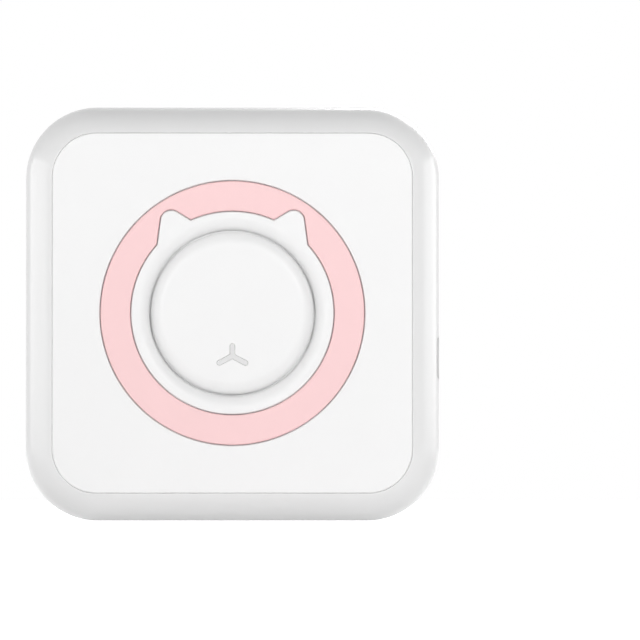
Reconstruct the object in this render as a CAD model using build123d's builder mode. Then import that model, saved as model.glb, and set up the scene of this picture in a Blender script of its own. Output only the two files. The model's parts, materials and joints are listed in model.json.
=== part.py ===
from build123d import *
from math import acos, atan2, cos, degrees, pi, radians, sin, sqrt, tan
import os

# Portable thermal label printer, standing on its lower edge with the round button facing -Y.
# X runs to the right of somebody facing the button, Y runs to the back, Z runs up.
# The origin is the middle of the footprint, on the surface that the printer stands on.

# Casing
width = 84.0
height = 84.0
depth = 43.0
wall = 2.0
corner_radius = 14.5
rim_width = 5.6
rim_tilt = 25.0
rear_rounding = 5.5
seam = 0.3

# Front panel, ring and button
panel_thickness = 2.4
ledge_thickness = 1.4
ledge_rounding = 3.0
panel_gap = 0.05
panel_edge_rounding = 0.25
ring_radius = 26.7
head_radius = 20.65
ring_thickness = 1.2
ring_gap = 0.18
ear_inner_foot = 24.0
ear_outer_foot = 48.0
ear_tip_angle = 32.4
ear_tip_radius = 26.5
ear_tip_rounding = 2.3
button_radius = 16.45
button_gap = 0.15
edge_rounding = 2.1
button_wall = 1.7
button_skirt = 2.0
flange_width = 1.6
flange_thickness = 0.8
flange_gap = 0.15
button_travel = 0.3
boss_radius = 3.0
mark_drop = 8.7
mark_arm_up = 2.0
mark_arm_down = 3.0
mark_arm_width = 0.95
mark_arm_spread = 124.0
mark_recess = 0.15
lens_thickness = 1.2
lens_gap = 0.04

# Circuit board, switch, socket and battery
board_thickness = 1.2
board_side_gap = 2.4
board_height = 34.0
board_rise = 1.0
board_corner = 1.5
lobe_wall_gap = 2.0
lobe_overlap = 6.0
lobe_height = 13.0
socket_drop = 9.0
socket_length = 6.7
socket_width = 7.5
socket_thickness = 2.6
socket_shell = 0.3
socket_mouth_depth = 0.8
socket_hole_margin = 0.5
socket_back = 1.4
socket_tongue = 0.6
socket_tongue_width = 3.8
socket_tongue_inset = 1.2
radio_width = 11.0
radio_length = 16.0
radio_drop = 7.0
radio_edge = 0.6
radio_board = 0.8
can_height = 1.4
can_length = 10.4
can_margin = 0.5
can_rounding = 0.4
led_width = 3.2
led_length = 2.4
led_height = 1.1
led_rounding = 0.3
# Each chip: place to the right of and above the button's centre, width, height and how far it stands up
chips = ((-8.0, 3.0, 7.0, 7.0, 1.0), (-7.5, -6.5, 5.0, 6.0, 1.4), (8.0, -6.0, 6.0, 5.0, 1.2),
         (8.5, 4.0, 3.0, 2.0, 0.8), (21.0, -12.0, 4.0, 4.0, 1.8), (-24.0, 5.0, 4.0, 5.0, 1.5))
switch_size = 6.0
switch_height = 1.2
plunger_radius = 1.7
plunger_spare = 0.05
plunger_length = 0.95
post_radius = 2.2
post_inset = 3.0
battery_side_gap = 4.8
battery_thickness = 5.2
battery_gap = 0.4
battery_motor_gap = 2.2
battery_side_rounding = 1.8
battery_end_chamfer = 0.5
switch_rounding = 0.6

# Paper roll and its bay
side_space = 13.5
roll_wall_gap = 1.2
core_radius = 7.2
core_wall = 1.0
bay_side_gap = 0.8
bay_wall = 1.4
bay_floor_gap = 0.6
bay_back_gap = 2.3
roll_gap = 0.3
cheek = 1.6
lip_rise = 7.3
slope_drop = 6.0
slope_gap = 1.6
cheek_inset = 1.0
cheek_foot = 8.0
tab_margin = 1.0
partition_wall = 1.0
partition_over_frame = 5.8
cheek_under_frame = 0.2

# Hinge of the paper cover
barrel_radius = 2.8
barrel_height = 12.0
barrel_gap = 0.3
knuckle_radius = 2.6
pin_radius = 1.0
pin_clearance = 0.05
pin_end_gap = 0.4
middle_knuckle = 16.0
side_knuckle = 8.0
side_knuckle_inset = 4.0
knuckle_gap = 0.3
knuckle_foot = 1.0
knuckle_foot_bottom = 7.0
cover_open = 90.0
rib_count = 5
rib_spacing = 11.0
rib_thickness = 1.0
rib_depth = 1.3
rib_low = 27.0
rib_high = 60.0

# Print mechanism
frame_sheet = 1.2
frame_below_platen = 17.8
frame_over_platen = 8.5
frame_rounding = 0.4
plate_reach = 3.4
plate_drop = 7.0
plate_rise = 6.0
plate_from_bay = 0.3
bracket_margin = 3.0
shelf_gap = 0.4
platen_radius = 4.5
platen_chamfer = 0.3
platen_over_paper = 0.1
platen_from_back = 13.5
platen_from_top = 12.0
shaft_radius = 1.5
bush_radius = 3.0
bush_wall_gap = 0.05
bush_flange_radius = 3.9
bush_fit = 0.02
bush_end_gap = 0.05
cradle_gap = 0.15
cradle_sweep = 10.0
ear_gap = 0.8
ear_thickness = 1.8
ear_radius = 4.2
ear_foot_drop = 12.0
ear_foot_rise = 7.0
plate_gap = 0.2
nip_gap = 0.3
guide_drop = 12.4
web_thickness = 0.1
web_roll_gap = 0.15
web_short = 0.4
head_thickness = 1.0
head_height = 12.0
head_low_share = 0.6
head_chamfer = 0.25
sink_thickness = 2.2
sink_height = 18.0
sink_under_pivot = 1.5
sink_side_gap = 0.6
pivot_drop = 9.5
pivot_radius = 1.0
head_tilt = 3.0
spring_length = 3.0
spring_radius = 1.9
spring_wire = 0.45
spring_turns = 3
spring_sides = 6
spring_spacing = 36.0
spring_end_gap = 0.02
sensor_width = 4.5
sensor_depth = 2.6
sensor_height = 3.0
sensor_rise = 0.8
sensor_x = 8.0
sensor_rounding = 0.4
motor_front_gap = 0.7
motor_length = 13.0
motor_shaft_radius = 0.75
motor_flange = 0.8
motor_flange_step = 0.15
motor_wall = 1.6
motor_chamfer = 0.8
rotor_gap = 0.3
shaft_in_can = 2.0
pinion_hole = 2.0

# Gear train, all of one module
gear_module = 0.4
pressure_angle = radians(25.0)
addendum = 0.8
dedendum = 1.1
backlash = 0.09
platen_teeth = 24
idler_teeth = 26
reduction_small_teeth = 12
reduction_large_teeth = 32
pinion_teeth = 10
idler_angle = radians(196.0)
gear_width = 2.2
large_gear_width = 1.8
gear_gap = 0.4
shaft_over = 0.4
pinion_over = 0.2
idler_hub = 1.9
reduction_hub = 1.7
axle_radius = 1.0
axle_clearance = 0.05
axle_over_idler = 0.1
axle_over_reduction = 0.5

# Paper slot and tear bar
slot_before_platen = 5.6
slot_width = 3.2
slot_side_gap = 1.0
bar_thickness = 0.8
bar_depth = 2.8
bar_rebate = 1.0
tooth_pitch = 1.5
tooth_reach = 0.55

# Screws
screw_radius = 1.0
screw_head_radius = 1.9
screw_head_height = 1.2
screw_clearance = 0.05
board_screw_head = 0.6
cross_length = 2.2
cross_width = 0.5
housing_screw_shank = 7.0
board_screw_shank = 3.2
frame_screw_end_gap = 0.8
boss_screw_radius = 2.8
boss_inset = 6.4
boss_low = 18.0
boss_high_rise = 6.0
tab_depth = 15.5
tab_thickness = 1.6
frame_post_radius = 2.4
frame_screw_inset = 6.5
frame_screw_rise = 2.2

# Planes and centres that the sizes above give
y_front = -depth / 2
y_back = depth / 2
mid_z = height / 2
rim_arc = rim_width / (1 - sin(radians(rim_tilt)))
rim_depth = rim_arc * cos(radians(rim_tilt))
rim_start = y_front + rim_depth
panel_width = width - 2 * rim_width
panel_height = height - 2 * rim_width
panel_corner = corner_radius - rim_width
panel_back = y_front + panel_thickness
ledge_back = panel_back + ledge_thickness
plunger_proud = button_travel + plunger_spare
switch_top = panel_back + flange_gap + flange_thickness + plunger_proud
board_front = switch_top + switch_height
board_back = board_front + board_thickness
battery_front = board_back + battery_gap
battery_back = battery_front + battery_thickness
inner_x = width / 2 - wall
board_lift = mid_z + board_rise
board_width = panel_width - 2 * ledge_rounding - 2 * board_side_gap
post_spacing_x = board_width - 2 * post_inset
post_spacing_z = board_height - 2 * post_inset
lobe_from = board_width / 2 - lobe_overlap
lobe_to = inner_x - lobe_wall_gap
radio_x = board_width / 2 - radio_edge
radio_z = mid_z - radio_drop
socket_z = mid_z - socket_drop
roll_length = width - 2 * side_space
platen_y = y_back - platen_from_back
platen_z = height - platen_from_top
platen_length = roll_length + 2 * platen_over_paper
slot_front = platen_y - slot_before_platen
slot_back = slot_front + slot_width
slot_length = roll_length + 2 * slot_side_gap
split_y = slot_front + slot_width / 2
bay_radius = (y_back - wall - bay_back_gap - battery_front - bay_wall - battery_gap) / 2
bay_y = y_back - wall - bay_back_gap - bay_radius
roll_radius = bay_radius - roll_wall_gap
bay_z = wall + bay_floor_gap + bay_wall + bay_radius
bay_half = roll_length / 2 + bay_side_gap
roll_z = bay_z - bay_radius + roll_gap + roll_radius
barrel_y = y_back - barrel_radius
plate_in = bay_half + plate_from_bay
plate_out = plate_in + frame_sheet
ear_in = plate_out + ear_gap
ear_out = ear_in + ear_thickness
gear_in = ear_out + gear_gap
gear_out = gear_in + gear_width
large_in = gear_out + gear_gap
large_out = large_in + large_gear_width
head_face = platen_y - platen_radius - nip_gap
sink_back = head_face - head_thickness - sink_thickness
spring_wall_back = sink_back - spring_length
spring_wall_front = spring_wall_back - frame_sheet
motor_radius = (spring_wall_front - plate_gap - panel_back - motor_front_gap) / 2
motor_y = spring_wall_front - plate_gap - motor_radius
motor_z = platen_z
pivot_y = sink_back + sink_thickness / 2
pivot_z = platen_z - pivot_drop
partition_back = battery_back + battery_gap / 2 + partition_wall
frame_bottom = platen_z - frame_below_platen
frame_top = platen_z + frame_over_platen
partition_top = frame_bottom + partition_over_frame
cheek_top = frame_bottom - cheek_under_frame
lip_height = wall + lip_rise
slope_top = bay_z + bay_radius + slope_gap
bay_front_top = slope_top - slope_drop
battery_floor = slope_top + battery_gap
battery_height = motor_z - motor_radius - battery_motor_gap - battery_floor
battery_width = roll_length - 2 * (battery_side_gap - bay_side_gap)
boss_x = width / 2 - boss_inset
boss_high = mid_z + boss_high_rise
tab_front = y_front + tab_depth
frame_screw_x = roll_length / 2 - frame_screw_inset
frame_screw_z = frame_bottom + frame_screw_rise
frame_screw_shank = spring_wall_back - partition_back - frame_screw_end_gap
side_knuckle_to = width / 2 - side_knuckle_inset
side_knuckle_from = side_knuckle_to - side_knuckle
web_y = platen_y - platen_radius - nip_gap / 2
guide_z = platen_z - guide_drop


def block(size_x, size_z, z_centre, y_from, y_to, corner):
    """A slab across Y with rounded corners in the front view."""
    with BuildPart() as slab:
        with BuildSketch(Plane.XZ.offset(-y_to)):
            with Locations((0, z_centre)):
                RectangleRounded(size_x, size_z, corner)
        extrude(amount=y_to - y_from)
    return slab.part


def casing_form(inset, front_cut, back_cut):
    """The casing's rounded form, shrunk by inset, between two planes across Y."""
    arc = rim_arc - inset
    virtual_front = rim_start - arc
    with BuildPart() as form:
        add(block(width - 2 * inset, height - 2 * inset, mid_z, virtual_front, y_back - inset,
                  corner_radius - inset))
        fillet(form.faces().sort_by(Axis.Y)[0].edges(), arc)
        fillet(form.faces().sort_by(Axis.Y)[-1].edges(), rear_rounding - inset)
        with BuildSketch(Plane.XZ.offset(-back_cut)):
            with Locations((0, mid_z)):
                Rectangle(2 * width, 2 * height)
        extrude(amount=back_cut - front_cut, mode=Mode.INTERSECT)
    return form.part


def region(y_from, y_to, z_from, z_to, x_from=-width, x_to=width):
    """A plain box between six planes."""
    with BuildPart() as space:
        with Locations(((x_from + x_to) / 2, (y_from + y_to) / 2, (z_from + z_to) / 2)):
            Box(x_to - x_from, y_to - y_from, z_to - z_from)
    return space.part


def rod(y, z, radius, x_from, x_to):
    """A round bar along X."""
    with BuildPart() as bar:
        with BuildSketch(Plane.YZ.offset(x_from)):
            with Locations((y, z)):
                Circle(radius)
        extrude(amount=x_to - x_from)
    return bar.part


def post(x, z, radius, y_from, y_to):
    """A round bar along Y."""
    with BuildPart() as bar:
        with BuildSketch(Plane.XZ.offset(-y_to)):
            with Locations((x, z)):
                Circle(radius)
        extrude(amount=y_to - y_from)
    return bar.part


def cat_head(shrink=0.0):
    """The disc with two ears that the ring leaves free, centred on the button."""
    tip = ear_tip_radius
    with BuildSketch() as outline:
        Circle(head_radius)
        for side in (-1, 1):
            feet = [(side * head_radius * sin(radians(a)), head_radius * cos(radians(a)))
                    for a in (ear_inner_foot, ear_outer_foot)]
            point = (side * tip * sin(radians(ear_tip_angle)), tip * cos(radians(ear_tip_angle)))
            with BuildSketch(mode=Mode.PRIVATE) as ear:
                with BuildLine():
                    Polyline(feet[0], point, feet[1], (0, 0), close=True)
                make_face()
                fillet(ear.vertices().sort_by(Axis.Y)[-1], ear_tip_rounding)
            add(ear.sketch)
        if shrink:
            offset(amount=-shrink)
    return outline.sketch


def muzzle_mark(grow=0.0):
    """Three rounded arms that meet below the middle of the button."""
    with BuildSketch() as mark:
        arms = ((90, mark_arm_up), (270 - mark_arm_spread / 2, mark_arm_down),
                (270 + mark_arm_spread / 2, mark_arm_down))
        for angle, reach in arms:
            with Locations(Location((0, -mark_drop), angle)):
                with Locations((reach / 2, 0)):
                    SlotCenterToCenter(reach, mark_arm_width + 2 * grow)
    return mark.sketch


def face_plane(y):
    """A plane across Y at the button's centre, seen from the front."""
    return Plane((0, y, mid_z), x_dir=(1, 0, 0), z_dir=(0, -1, 0))


def gear_outline(teeth, phase):
    """Involute spur gear seen along -X, with one tooth centred on the angle phase."""
    pitch = gear_module * teeth / 2
    base = pitch * cos(pressure_angle)
    tip = pitch + addendum * gear_module
    root = pitch - dedendum * gear_module
    half = pi / (2 * teeth) - backlash / (2 * pitch) + tan(pressure_angle) - pressure_angle

    def flank(radius):
        slope = acos(min(1.0, base / radius))
        return half - (tan(slope) - slope)

    low = max(base, root)
    radii = (root, low, (low + tip) / 2, tip)
    points = []
    for k in range(teeth):
        centre = phase + 2 * pi * k / teeth
        rising = [(r, centre - flank(max(r, low))) for r in radii]
        falling = [(r, centre + flank(max(r, low))) for r in reversed(radii)]
        points += [(r * cos(a), r * sin(a)) for r, a in rising + falling]
    if root >= base:
        points = [p for i, p in enumerate(points) if i % 8 not in (1, 6)]
    with BuildSketch() as outline:
        with BuildLine():
            Polyline(*points, close=True)
        make_face()
    return outline.sketch


def mating_phase(phase, teeth, direction, mate_teeth):
    """Phase of the gear that lies in that direction, so that its gap takes the first one's tooth."""
    pitch = 2 * pi / teeth
    share = ((direction - phase) % pitch) / pitch
    return direction + pi + (share + 0.5) * 2 * pi / mate_teeth


def gear_blank(centre, teeth, phase, x_from, x_to):
    """One toothed wheel between two planes across X."""
    with BuildPart() as blank:
        with BuildSketch(Plane.YZ.offset(x_from)):
            with Locations(centre):
                add(gear_outline(teeth, phase))
        extrude(amount=x_to - x_from)
    return blank.part


def screw(x, y_seat, z, shank, head_height):
    """Cross-head screw along Y: its head stands behind y_seat and its shank runs to the front."""
    with BuildPart() as one:
        add(post(x, z, screw_head_radius, y_seat, y_seat + head_height))
        chamfer(one.edges().sort_by(Axis.Y)[-1], head_height / 3)
        add(post(x, z, screw_radius, y_seat - shank, y_seat))
        with BuildSketch(Plane((x, y_seat + head_height, z), x_dir=(1, 0, 0), z_dir=(0, 1, 0))):
            Rectangle(cross_length, cross_width)
            Rectangle(cross_width, cross_length)
        extrude(amount=-head_height / 2, mode=Mode.SUBTRACT)
    return one.part


def write(part, name):
    part.label = name
    export_step(part, f"parts/{name}.step")


os.makedirs("parts", exist_ok=True)

outer = casing_form(0, y_front, y_back)
hollow = casing_form(wall, ledge_back, y_back)
hinge = (barrel_y, barrel_height)
platen_axis = (platen_y, platen_z)
gear_distance = gear_module * (platen_teeth + idler_teeth) / 2
idler_axis = (platen_y + gear_distance * cos(idler_angle), platen_z + gear_distance * sin(idler_angle))
motor_axis = (motor_y, motor_z)
small_distance = gear_module * (idler_teeth + reduction_small_teeth) / 2
large_distance = gear_module * (reduction_large_teeth + pinion_teeth) / 2
motor_span = sqrt((motor_y - idler_axis[0]) ** 2 + (motor_z - idler_axis[1]) ** 2)
motor_bearing = atan2(motor_z - idler_axis[1], motor_y - idler_axis[0])
small_bearing = motor_bearing + acos(
    (small_distance**2 + motor_span**2 - large_distance**2) / (2 * small_distance * motor_span))
reduction_axis = (idler_axis[0] + small_distance * cos(small_bearing),
                  idler_axis[1] + small_distance * sin(small_bearing))
pinion_bearing = atan2(motor_z - reduction_axis[1], motor_y - reduction_axis[0])
hinge_to_platen = sqrt((platen_y - barrel_y) ** 2 + (platen_z - barrel_height) ** 2)

# Front half of the casing: rim, side walls, ledge for the panel and four screw bosses
socket_y = board_back + socket_thickness / 2
with BuildPart() as front_housing:
    add(outer)
    add(region(split_y, 2 * depth, -height, 2 * height), mode=Mode.SUBTRACT)
    add(hollow, mode=Mode.SUBTRACT)
    add(block(panel_width + 2 * panel_gap, panel_height + 2 * panel_gap, mid_z, y_front - wall,
              panel_back, panel_corner + panel_gap), mode=Mode.SUBTRACT)
    add(block(panel_width - 2 * ledge_rounding, panel_height - 2 * ledge_rounding, mid_z, y_front,
              ledge_back + wall, panel_corner - ledge_rounding), mode=Mode.SUBTRACT)
    for x in (-boss_x, boss_x):
        for z in (boss_low, boss_high):
            add(post(x, z, boss_screw_radius, ledge_back - ledge_thickness / 2, tab_front))
            add(post(x, z, screw_radius, ledge_back + ledge_thickness, tab_front + wall),
                mode=Mode.SUBTRACT)
    with BuildSketch(Plane.YZ.offset(inner_x - wall)):
        with Locations((socket_y, socket_z)):
            RectangleRounded(socket_thickness + 2 * socket_hole_margin,
                             socket_width + 2 * socket_hole_margin, 1.4)
    extrude(amount=3 * wall, mode=Mode.SUBTRACT)
    add(region(slot_front, split_y + wall, height - 2 * wall, height + wall,
               -slot_length / 2, slot_length / 2), mode=Mode.SUBTRACT)
    add(region(slot_front - bar_depth - panel_gap, split_y, height - bar_rebate, height + wall,
               -slot_length / 2, slot_length / 2), mode=Mode.SUBTRACT)
write(front_housing.part, "front_housing")

# Flat front panel with the ring's recess, the button's hole and four posts for the board
with BuildPart() as face_panel:
    add(block(panel_width, panel_height, mid_z, y_front, panel_back, panel_corner))
    fillet(face_panel.faces().sort_by(Axis.Y)[0].edges(), panel_edge_rounding)
    with BuildSketch(face_plane(y_front)):
        Circle(ring_radius + ring_gap)
        add(cat_head(ring_gap), mode=Mode.SUBTRACT)
    extrude(amount=-ring_thickness, mode=Mode.SUBTRACT)
    hole_radius = button_radius + button_gap
    with BuildSketch(Plane.XY.offset(mid_z)):
        with BuildLine():
            CenterArc((hole_radius + edge_rounding, y_front + edge_rounding), edge_rounding, 180, 90)
            Polyline((hole_radius, y_front + edge_rounding), (hole_radius, panel_back + wall),
                     (0, panel_back + wall), (0, y_front - wall), (hole_radius + edge_rounding, y_front - wall),
                     (hole_radius + edge_rounding, y_front))
        make_face()
    revolve(axis=Axis((0, 0, mid_z), (0, 1, 0)), mode=Mode.SUBTRACT)
    for x in (-post_spacing_x / 2, post_spacing_x / 2):
        for z in (board_lift - post_spacing_z / 2, board_lift + post_spacing_z / 2):
            add(post(x, z, post_radius, panel_back, board_front))
            add(post(x, z, screw_radius, panel_back, board_front), mode=Mode.SUBTRACT)
write(face_panel.part, "face_panel")

# Coloured ring, let in flush round the disc with the ears
with BuildPart() as accent_ring:
    with BuildSketch(face_plane(y_front + ring_thickness)):
        Circle(ring_radius)
        add(cat_head(), mode=Mode.SUBTRACT)
    extrude(amount=ring_thickness)
write(accent_ring.part, "accent_ring")

# Round push button with a rounded edge, a retaining flange and a boss over the switch
flange_front = panel_back + flange_gap
with BuildPart() as power_button:
    with BuildSketch(Plane.XY.offset(mid_z)):
        with BuildLine():
            CenterArc((button_radius - edge_rounding, y_front + edge_rounding), edge_rounding, 270, 90)
            Polyline((button_radius, y_front + edge_rounding), (button_radius, flange_front),
                     (button_radius + flange_width, flange_front),
                     (button_radius + flange_width, flange_front + flange_thickness),
                     (button_radius - button_skirt, flange_front + flange_thickness),
                     (button_radius - button_skirt, y_front + button_wall),
                     (boss_radius, y_front + button_wall), (boss_radius, switch_top - plunger_proud),
                     (0, switch_top - plunger_proud), (0, y_front), (button_radius - edge_rounding, y_front))
        make_face()
    revolve(axis=Axis((0, 0, mid_z), (0, 1, 0)))
    with BuildSketch(face_plane(y_front)):
        add(muzzle_mark(lens_gap))
    extrude(amount=-2 * button_wall, mode=Mode.SUBTRACT)
write(power_button.part, "power_button")

with BuildPart() as indicator_lens:
    with BuildSketch(face_plane(y_front + mark_recess + lens_thickness)):
        add(muzzle_mark())
    extrude(amount=lens_thickness)
write(indicator_lens.part, "indicator_lens")

# Circuit board with its lobe for the socket, and what is soldered to it
with BuildPart() as main_board:
    with BuildSketch(Plane.XZ.offset(-board_back)):
        with Locations((0, board_lift)):
            RectangleRounded(board_width, board_height, board_corner)
        with Locations((lobe_from, socket_z)):
            Rectangle(lobe_to - lobe_from, lobe_height, align=(Align.MIN, Align.CENTER))
        with Locations((0, board_lift)):
            with GridLocations(post_spacing_x, post_spacing_z, 2, 2):
                Circle(screw_radius + screw_clearance, mode=Mode.SUBTRACT)
    extrude(amount=board_thickness)
    for x, rise, chip_x, chip_z, chip_height in chips:
        add(region(board_front - chip_height, board_front, mid_z + rise - chip_z / 2, mid_z + rise + chip_z / 2,
                   x - chip_x / 2, x + chip_x / 2))
write(main_board.part, "main_board")

with BuildPart() as radio_module:
    add(region(board_front - radio_board, board_front, radio_z, radio_z + radio_length,
               radio_x - radio_width, radio_x))
    can_z = radio_z + can_margin
    add(region(board_front - radio_board - can_height, board_front - radio_board, can_z, can_z + can_length,
               radio_x - radio_width + can_margin, radio_x - can_margin))
    chamfer(radio_module.faces().sort_by(Axis.Y)[0].edges(), can_rounding)
write(radio_module.part, "radio_module")

with BuildPart() as usb_socket:
    with BuildSketch(Plane.YZ.offset(width / 2 - socket_mouth_depth)):
        with Locations((socket_y, socket_z)):
            RectangleRounded(socket_thickness, socket_width, 0.6)
            RectangleRounded(socket_thickness - 2 * socket_shell, socket_width - 2 * socket_shell, 0.35,
                             mode=Mode.SUBTRACT)
    extrude(amount=-socket_length)
    x_rear = width / 2 - socket_mouth_depth - socket_length
    add(region(board_back, board_back + socket_thickness, socket_z - socket_width / 2 + socket_shell,
               socket_z + socket_width / 2 - socket_shell, x_rear, x_rear + socket_back))
    add(region(socket_y - socket_tongue / 2, socket_y + socket_tongue / 2, socket_z - socket_tongue_width / 2,
               socket_z + socket_tongue_width / 2, x_rear, x_rear + socket_length - socket_tongue_inset))
write(usb_socket.part, "usb_socket")

with BuildPart() as switch_body:
    add(region(switch_top, board_front, mid_z - switch_size / 2, mid_z + switch_size / 2,
               -switch_size / 2, switch_size / 2))
    fillet(switch_body.edges().filter_by(Axis.Y), switch_rounding)
    add(post(0, mid_z, plunger_radius + axle_clearance, switch_top, board_front), mode=Mode.SUBTRACT)
write(switch_body.part, "switch_body")

write(post(0, mid_z, plunger_radius, switch_top - plunger_proud, switch_top - plunger_proud + plunger_length),
      "switch_plunger")

with BuildPart() as status_led:
    led_z = mid_z - mark_drop
    add(region(board_front - led_height, board_front, led_z - led_length / 2, led_z + led_length / 2,
               -led_width / 2, led_width / 2))
    chamfer(status_led.faces().sort_by(Axis.Y)[0].edges(), led_rounding)
write(status_led.part, "status_led")

with BuildPart() as battery_cell:
    add(region(battery_front, battery_back, battery_floor, battery_floor + battery_height,
               -battery_width / 2, battery_width / 2))
    fillet(battery_cell.edges().filter_by(Axis.Z), battery_side_rounding)
    ends = battery_cell.faces().sort_by(Axis.Z)
    chamfer(ends[0].edges() + ends[-1].edges(), battery_end_chamfer)
write(battery_cell.part, "battery_cell")

# Bay for the paper roll with the lower back of the casing, moulded in one piece
bay_front = bay_y - bay_radius
cheek_back = bay_y + bay_radius - cheek_inset
hinge_clear = barrel_y - barrel_radius - cheek_inset
with BuildPart() as bay_housing:
    add(outer)
    add(hollow, mode=Mode.SUBTRACT)
    add(region(split_y + seam / 2, 2 * depth, -height, barrel_height - seam / 2), mode=Mode.INTERSECT)
    add(rod(*hinge, barrel_radius + barrel_gap, -width, width), mode=Mode.SUBTRACT)
    add(region(barrel_y, 2 * depth, barrel_height - barrel_radius - barrel_gap, height), mode=Mode.SUBTRACT)
    with BuildSketch(Plane.YZ):
        with Locations((bay_y, bay_z)):
            Circle(bay_radius + bay_wall)
        with Locations((bay_y, bay_z)):
            Rectangle(4 * bay_radius, 2 * bay_radius, align=(Align.CENTER, Align.MIN), mode=Mode.SUBTRACT)
        with Locations((bay_y, lip_height)):
            Rectangle(2 * bay_radius, bay_radius, align=(Align.MIN, Align.MIN), mode=Mode.SUBTRACT)
        with BuildLine():
            Polyline((bay_front - bay_wall, bay_z), (bay_front - bay_wall, slope_top),
                     (partition_back - partition_wall, slope_top),
                     (partition_back - partition_wall, partition_top), (partition_back, partition_top),
                     (partition_back, slope_top - partition_wall), (bay_front, bay_front_top),
                     (bay_front, bay_z), close=True)
        make_face()
        with Locations((bay_y, bay_z)):
            Circle(bay_radius, mode=Mode.SUBTRACT)
    extrude(amount=bay_half + cheek, both=True)
    for side in (-1, 1):
        inner, outer_side = sorted((side * bay_half, side * (bay_half + cheek)))
        with BuildSketch(Plane.YZ.offset(inner)):
            with BuildLine():
                Polyline((bay_front - bay_wall, bay_z), (bay_front - bay_wall, slope_top),
                         (partition_back - partition_wall, slope_top),
                         (partition_back - partition_wall, cheek_top), (split_y, cheek_top),
                         (cheek_back, bay_z + bay_radius - cheek_inset),
                         (cheek_back, barrel_height + barrel_radius + cheek_inset), (hinge_clear, barrel_height),
                         (hinge_clear, wall / 2), (split_y + seam, wall / 2),
                         (split_y + seam, wall + bay_floor_gap),
                         (bay_y - cheek_foot, wall + bay_floor_gap), close=True)
            make_face()
        extrude(amount=outer_side - inner)
        for z in (boss_low, boss_high):
            edge_x = sorted((side * bay_half, side * (boss_x + boss_screw_radius)))
            tab_half = boss_screw_radius + tab_margin
            add(region(tab_front, tab_front + tab_thickness, z - tab_half, z + tab_half, *edge_x))
        for z in (boss_low, boss_high):
            add(post(side * boss_x, z, screw_radius + screw_clearance, tab_front - 1, tab_front + wall),
                mode=Mode.SUBTRACT)
        add(post(side * frame_screw_x, frame_screw_z, frame_post_radius, partition_back, spring_wall_front))
        add(post(side * frame_screw_x, frame_screw_z, screw_radius, partition_back - wall, spring_wall_front),
            mode=Mode.SUBTRACT)
    for x_from, x_to in ((-middle_knuckle / 2, middle_knuckle / 2), (side_knuckle_from, side_knuckle_to),
                         (-side_knuckle_to, -side_knuckle_from)):
        add(rod(*hinge, knuckle_radius, x_from, x_to))
        add(region(barrel_y - knuckle_radius, barrel_y + knuckle_foot, knuckle_foot_bottom, barrel_height,
                   x_from, x_to))
    add(outer, mode=Mode.INTERSECT)
    add(rod(*hinge, pin_radius, -side_knuckle_to + pin_end_gap, side_knuckle_to - pin_end_gap), mode=Mode.SUBTRACT)
write(bay_housing.part, "bay_housing")

write(rod(*hinge, pin_radius, -side_knuckle_to + pin_end_gap, side_knuckle_to - pin_end_gap), "hinge_pin")

# Paper cover: the back and top of the casing, with the hinge barrel and the ears for the platen
with BuildPart() as paper_cover:
    add(outer)
    add(hollow, mode=Mode.SUBTRACT)
    add(region(split_y + seam / 2, 2 * depth, barrel_height + seam / 2, 2 * height), mode=Mode.INTERSECT)
    add(region(0, slot_back, height - 2 * wall, height + wall, -slot_length / 2, slot_length / 2),
        mode=Mode.SUBTRACT)
    with BuildPart(mode=Mode.PRIVATE) as barrel:
        add(rod(*hinge, barrel_radius, -width, width))
        add(outer, mode=Mode.INTERSECT)
    add(barrel.part)
    for x_from, x_to in ((-middle_knuckle / 2, middle_knuckle / 2), (side_knuckle_from, side_knuckle_to),
                         (-side_knuckle_to, -side_knuckle_from)):
        add(rod(*hinge, barrel_radius + barrel_gap, x_from - knuckle_gap, x_to + knuckle_gap),
            mode=Mode.SUBTRACT)
    add(rod(*hinge, pin_radius + pin_clearance, -side_knuckle_to, side_knuckle_to), mode=Mode.SUBTRACT)
    for side in (-1, 1):
        ear_from, ear_to = sorted((side * ear_in, side * ear_out))
        with BuildSketch(Plane.YZ.offset(ear_from)):
            with BuildLine():
                Polyline((platen_y, platen_z - ear_radius), (y_back - wall / 2, platen_z - ear_foot_drop),
                         (y_back - wall / 2, platen_z + ear_foot_rise), (platen_y, platen_z + ear_radius),
                         close=True)
            make_face()
            with Locations(platen_axis):
                Circle(ear_radius)
        extrude(amount=ear_to - ear_from)
        add(rod(*platen_axis, bush_radius + bush_fit, ear_from - 1, ear_to + 1), mode=Mode.SUBTRACT)
    rib_front = y_back - wall - rib_depth
    with BuildSketch(Plane.XZ.offset(-rib_front)):
        with Locations((0, (rib_low + rib_high) / 2)):
            with GridLocations(rib_spacing, 1, rib_count, 1):
                SlotCenterToCenter(rib_high - rib_low, rib_thickness, rotation=90)
    extrude(amount=-rib_depth - wall / 2)
write(paper_cover.part, "paper_cover")

# Platen: shaft, rubber sleeve, gear and two flanged bushes that stay in the cover's ears
write(rod(*platen_axis, shaft_radius, -gear_out - shaft_over, ear_out + shaft_over), "platen_shaft")

with BuildPart() as platen_rubber:
    add(rod(*platen_axis, platen_radius, -platen_length / 2, platen_length / 2))
    chamfer(platen_rubber.edges(), platen_chamfer)
    add(rod(*platen_axis, shaft_radius, -platen_length, platen_length), mode=Mode.SUBTRACT)
write(platen_rubber.part, "platen_rubber")

with BuildPart() as platen_bushes:
    for side in (-1, 1):
        sleeve_ends = sorted((side * (plate_in + plate_gap), side * (ear_out - bush_end_gap)))
        flange_ends = sorted((side * (plate_out + plate_gap), side * (ear_in - bush_end_gap)))
        add(rod(*platen_axis, bush_radius, *sleeve_ends))
        add(rod(*platen_axis, bush_flange_radius, *flange_ends))
    add(rod(*platen_axis, shaft_radius + bush_wall_gap, -width, width), mode=Mode.SUBTRACT)
write(platen_bushes.part, "platen_bushes")

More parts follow.
